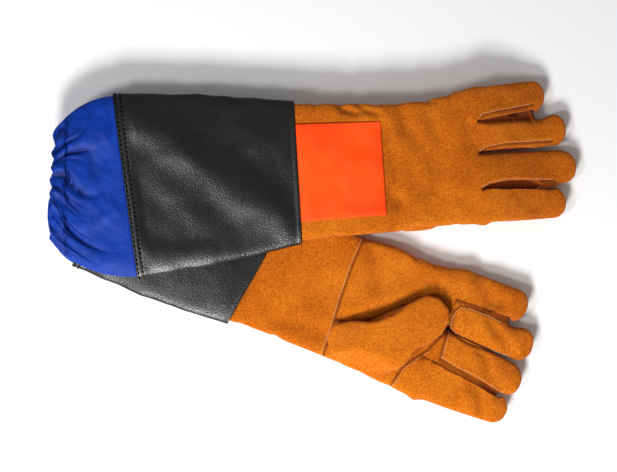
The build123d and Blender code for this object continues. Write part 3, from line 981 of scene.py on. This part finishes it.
def cuff_shape(side):
    """The cuff's rule for roll()."""
    long = CUFF_LAID[side] + TUCKED

    def shape(u, v):
        across, high = around_tube(v)
        reach = np.clip((u * long - TUCKED) / CUFF_LAID[side], 0, 1)
        half = 104.5 * np.sqrt(1 - (0.80 * reach) ** 2)
        y = across * half + 9 * reach**2
        x = -SLEEVE_LONG + TUCKED - long * u - 0.056 * y * (1 - reach) + 0.13 * (y - 10) * reach
        face = np.sign(high) * 3.0
        spots = list(zip(across, face, reach))
        drift = np.array([noise.noise(Vector((c * 1.7 + f, w * 1.4, 5.0))) for c, f, w in spots])
        weight = np.array([noise.noise(Vector((c * 2.6 + f, w * 0.7, 9.0))) for c, f, w in spots])
        inner = 1 - across**8
        valley = inner * (1 - np.abs(np.sin(math.pi * (3.1 * across + 1.7 * drift)))) ** 2.3
        second = inner * (1 - np.abs(np.sin(math.pi * (6.2 * across + 2.4 * drift) + 1.1))) ** 3
        gather = smooth(reach, 0.05 + 0.3 * np.clip(0.5 - weight, 0, 1), 0.95)
        deep = np.clip(0.75 + 0.9 * weight, 0.35, 1.3)
        depth = gather * (8.6 * valley * deep + 2.8 * second * smooth(reach, 0.35, 0.85))
        casing = smooth(reach, CASING_AT - 0.01, CASING_AT + 0.02)
        pinch = np.exp(-(((reach - CASING_AT) / 0.02) ** 2))
        crumple = field(x, y, 11, 8.8)
        wave = np.sin(math.pi * (5.4 * across + 2.4 * drift)) * inner
        ruffle = casing * (1.9 * wave + 1.6 * crumple)
        rise = 9.8 - depth * (1 - 0.45 * casing) - 1.9 * pinch + ruffle
        rise += (2.6 * field(x * 0.6, y, 30, 4.4) + 0.6 * crumple) * smooth(reach, 0.0, 0.2)
        rise -= 2.2 * (1 - smooth(u * long, 6.5, 10.5))
        free = (high < 0) & (side == "left")
        z = high * np.maximum(np.where(free, rise, np.minimum(rise, 11.0)), 2.0)
        # Painted shade in the gather valleys, and a little along the casing's pinch.
        valley_shade = 1.3 * gather * (valley * deep + 0.4 * second * smooth(reach, 0.35, 0.85))
        x = x + smooth(reach, 0.6, 1.0) * (2.2 * wave + 1.2 * crumple)
        seam_and_shade = np.clip(valley_shade + 0.35 * pinch, 0, 0.9)
        return np.stack([x, y, z], axis=1), seam_and_shade

    return shape


for side in ("left", "right"):
    cuff = roll(side + "_cuff_cloth", side, 90, 420, cuff_shape(side), 1.1, blue_cloth)
    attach(cuff, side + "_sleeve")
    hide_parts(*[f"{side}_{n}" for n in ("elastic_cuff", "elastic_band")])
    print(side, "cuff:", len(cuff.data.polygons))

# %% [markdown]
# ## The signal patch
# A rectangle of smooth orange leather is sewn to the back of the gauntlet, just past the sleeve. It lies on the suede
# and follows its folds, so the grid is dropped onto the leather below, point by point, and given its thickness.

# %% Lay the patches
PATCH_CORNERS = [(-93.5, -57), (7, -56.5), (8, 50.8), (-91.5, 55.8)]
PATCH_SIZE = (96.0, 108.0)
ROW_INSET = 0.035  # how far inside the edge its stitch row runs, as a share of the patch


def surface_of(obj):
    """A tree that finds the piece's surface above or below a place."""
    verts = [v.co.copy() for v in obj.data.vertices]
    return BVHTree.FromPolygons(verts, [tuple(p.vertices) for p in obj.data.polygons])


def drop_on(tree, place, from_above):
    """The highest, or lowest, point of a surface at a place, or None."""
    start = Vector((place.x, place.y, 1.0 if from_above else -1.0))
    return tree.ray_cast(start, Vector((0, 0, -1.0 if from_above else 1.0)))[0]


leather_tree = {side: surface_of(leather[side]["palm"]) for side in ("left", "right")}


def lay_patch(side):
    """The patch, dropped on the back of one glove."""
    bpy.ops.mesh.primitive_grid_add(x_subdivisions=44, y_subdivisions=48, size=1)
    patch = bpy.context.object
    patch.name = side + "_signal_patch_leather"
    corners = np.array(PATCH_CORNERS)
    above = side == "left"
    out = 1.0 if above else -1.0
    for vertex in patch.data.vertices:
        u, v = vertex.co.x + 0.5, vertex.co.y + 0.5
        x, y = (1 - v) * ((1 - u) * corners[0] + u * corners[1]) + v * ((1 - u) * corners[3] + u * corners[2])
        place = at(side, x, y)
        hit = drop_on(leather_tree[side], place, above) or place
        edge = min(min(u, 1 - u) * PATCH_SIZE[0], min(v, 1 - v) * PATCH_SIZE[1])
        proud = (1.25 if above else 0.75) - 0.7 * math.exp(-((edge / 1.4) ** 2))
        proud -= 0.3 * math.exp(-(((edge - 3) / 0.9) ** 2))  # the stitch row pulls it in
        vertex.co = (place.x, place.y, hit.z + out * proud * MM)
    rest_on_table(patch)
    if not above:
        patch.data.flip_normals()
    apply_modifier(patch, "SOLIDIFY", thickness=0.9 * MM, offset=-1.0)
    patch.data.shade_smooth()
    dress(patch, orange_leather)
    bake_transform(patch)
    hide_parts(side + "_signal_patch")
    return patch


patches = {side: lay_patch(side) for side in ("left", "right")}
print("patches:", len(patches))

# %% [markdown]
# ## Stitches
# A row of stitches is one small bead, made once and copied along a line: long and thin, sunk a little at both ends.

# %% Sew
bpy.ops.mesh.primitive_uv_sphere_add(segments=8, ring_count=6, radius=0.5)
bead = bpy.context.object
bead_points = np.array([v.co for v in bead.data.vertices])
bead_faces = [tuple(p.vertices) for p in bead.data.polygons]
bpy.data.objects.remove(bead)


def sew(name, line, pitch, long, wide, material):
    """Copies the bead along a line of row-frame points, every pitch millimetres."""
    verts, faces = [], []
    walked, due = 0.0, pitch * MM / 2
    for a, b in zip(line[:-1], line[1:]):
        step = (b - a).length
        while step > 0 and walked + step >= due:
            centre = a.lerp(b, (due - walked) / step)
            along = (b - a).normalized()
            side_way = UP.cross(along).normalized()
            turn = np.array([along, side_way, along.cross(side_way)])
            size = np.array([long, wide, wide * 0.8]) * MM
            start = len(verts) * len(bead_points)
            verts.append((bead_points * size) @ turn + np.array(centre))
            faces += [tuple(i + start for i in face) for face in bead_faces]
            due += pitch * MM
        walked += step
    mesh = bpy.data.meshes.new(name)
    mesh.from_pydata(np.concatenate(verts).tolist(), [], faces)
    mesh.shade_smooth()
    obj = bpy.data.objects.new(name, mesh)
    rest_on_table(obj)
    scene.collection.objects.link(obj)
    dress(obj, material)
    return obj


def hem_row(side, back):
    """A stitch row round the sleeve, a distance in millimetres back from its hem."""
    turns = np.linspace(0, 1, 500) % 1.0
    ring, _ = sleeve_shape(side)(np.full(500, 1 - back / SLEEVE_LONG), turns)
    ring = sleeve_to_hand(side, ring)
    return [at(side, *p) for p in ring]


for side in ("left", "right"):
    for row, back in HEM_ROWS.items():
        line = hem_row(side, back)
        stitches = sew(f"{side}_hem_stitches_{row}", line, 5.3, 3.6, 2.0, black_thread)
        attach(stitches, side + "_sleeve")


ROW_PROUD = 0.15  # height of a stitch row's middle above the leather


def seam_line(side, tree, path, offset, from_above):
    """A line on the leather that keeps a distance to one side of a path of (x, y) points."""
    found = []
    for (ax, ay), (bx, by) in zip(path[:-1], path[1:]):
        length = math.hypot(bx - ax, by - ay)
        nx, ny = -(by - ay) / length, (bx - ax) / length
        for i in range(int(length)):
            t = i / length
            place = at(side, ax + (bx - ax) * t + nx * offset, ay + (by - ay) * t + ny * offset)
            hit = drop_on(tree, place, from_above)
            if hit:
                found.append(hit + UP * (ROW_PROUD * MM if from_above else -ROW_PROUD * MM))
    return found


def patch_row(side):
    """The stitch row a little inside the patch's edge."""
    corners = [(x * (1 - ROW_INSET) - 40 * ROW_INSET, y * (1 - ROW_INSET)) for x, y in PATCH_CORNERS]
    return seam_line(side, surface_of(patches[side]), corners + corners[:1], 0, side == "left")


for side in ("left", "right"):
    orange = thread("orange_thread_" + side, "#d84a10", "#ff7a30")
    row = sew(side + "_patch_stitches", patch_row(side), 3.4, 2.6, 0.7, orange)
    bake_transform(row)
    shown = side == "right"
    line = seam_line(side, leather_tree[side], PALM_SEAMS[0] if shown else BACK_WRIST, -2.6, shown)
    wrist = sew(side + "_wrist_stitches", line, 3.2, 2.7, 0.8, tan_thread)
    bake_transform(wrist)

# %% [markdown]
# The finger seams show a fine row of lighter thread beside each side strip.

# %% Sew the fingers
FINGER_ROWS = [(finger, path, False, 1.6) for finger, path in zip(("little", "ring", "middle"), BACK_SEAMS)]
FINGER_ROWS += [(finger, path, True, 2.0) for finger, path in zip(("ring", "middle"), PALM_SEAMS[1:])]
for side in ("left", "right"):
    for number, (finger, path, on_palm, offset) in enumerate(FINGER_ROWS):
        tree = surface_of(leather[side][finger])
        above = on_palm == (side == "right")
        line = seam_line(side, tree, path, offset, above)
        if len(line) > 8:
            row = sew(f"{side}_{finger}_stitches_{number}", line, 3.2, 2.5, 0.9, tan_thread)
            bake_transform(row)
    line = seam_line(side, leather_tree[side], INDEX_SEAM, 2.4, side == "right")
    row = sew(side + "_index_stitches", line, 3.2, 2.5, 0.7, tan_thread)
    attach(row, side + "_hand")
print("rows sewn")
